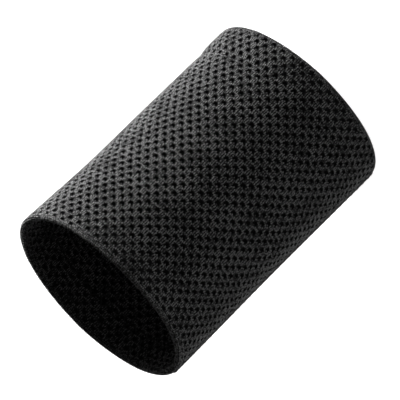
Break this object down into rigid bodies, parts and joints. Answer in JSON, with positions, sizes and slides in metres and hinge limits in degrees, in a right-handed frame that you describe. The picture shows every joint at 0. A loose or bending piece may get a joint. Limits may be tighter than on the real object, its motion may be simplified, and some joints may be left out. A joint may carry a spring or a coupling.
{
  "type": "sweat wristband",
  "caption": "Round sleeve of open mesh knit with folded rims, worn on the wrist to soak up sweat in racket sports.",
  "frame": {"origin": "centre of the far rim's plane, on the axis of the sleeve, where the band stands on a table", "axes": "+Z along the axis of the sleeve, from the far rim to the near mouth; -X towards the outer panel's side seam"},
  "size_m": [0.0536, 0.0536, 0.078],
  "materials": {
    "outer_mesh": "matte black polyester mesh knit with a soft sheen",
    "lining_mesh": "matte black polyester mesh knit",
    "core_knit": "matte black absorbent knit",
    "elastic": "matte black woven elastic",
    "thread": "satin black polyester sewing thread"
  },
  "bodies": {
    "root": {"outer_mesh_panel": "outer_mesh", "lining_mesh_panel": "lining_mesh", "absorbent_core": "core_knit", "near_hem_elastic": "elastic", "far_hem_elastic": "elastic", "near_hem_stitches": "thread", "far_hem_stitches": "thread", "outer_side_seam": "thread", "lining_side_seam": "thread"}
  },
  "joints": []
}
